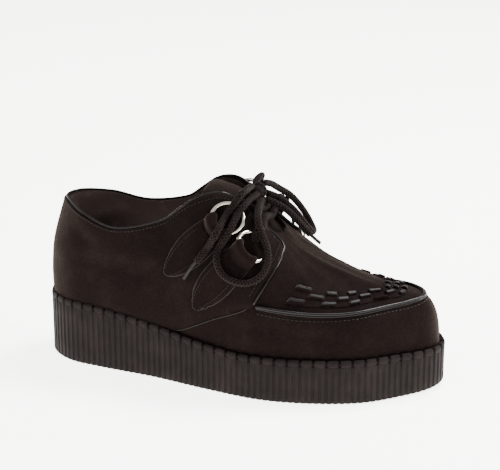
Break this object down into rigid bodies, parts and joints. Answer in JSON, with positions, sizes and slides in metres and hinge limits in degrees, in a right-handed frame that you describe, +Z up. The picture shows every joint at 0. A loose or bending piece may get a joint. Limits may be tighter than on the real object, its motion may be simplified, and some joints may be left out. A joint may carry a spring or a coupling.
{
  "type": "lace-up wedge shoe",
  "caption": "Low suede lace-up shoe with a woven apron, ring eyelets, a tied lace and a thick ribbed rubber wedge sole.",
  "frame": {"origin": "bottom centre of the box round the shoe without its free lace, on the floor it stands on", "axes": "+X from heel to toe, +Y to the inner side of the foot, +Z up"},
  "size_m": [0.265, 0.1022, 0.1278],
  "materials": {
    "sole_rubber": "matt ribbed rubber, warm charcoal",
    "insole": "smooth dark leather footbed",
    "suede": "black suede with a short warm nap",
    "woven_suede": "narrow black suede strips, woven",
    "piping": "glossy black leather over a cord",
    "ring_metal": "polished silver-coloured metal",
    "lace": "round braided black lace",
    "lace_tip": "dark clear tip over the braid"
  },
  "bodies": {
    "root": {"sole": "sole_rubber", "insole": "insole", "upper": "suede", "tongue": "suede", "quarter_outer": "suede", "quarter_inner": "suede", "collar_piping": "piping", "apron_piping": "piping", "woven_band": "woven_suede", "ring_outer_high": "ring_metal", "tab_outer_high": "suede", "ring_outer_low": "ring_metal", "tab_outer_low": "suede", "ring_inner_high": "ring_metal", "tab_inner_high": "suede", "ring_inner_low": "ring_metal", "tab_inner_low": "suede", "lace_crossings": "lace", "lace_knot": "lace", "lace_loop_outer": "lace", "lace_loop_inner": "lace", "lace_end_outer": "lace", "lace_end_inner": "lace", "aglet_outer": "lace_tip", "aglet_inner": "lace_tip"}
  },
  "joints": []
}
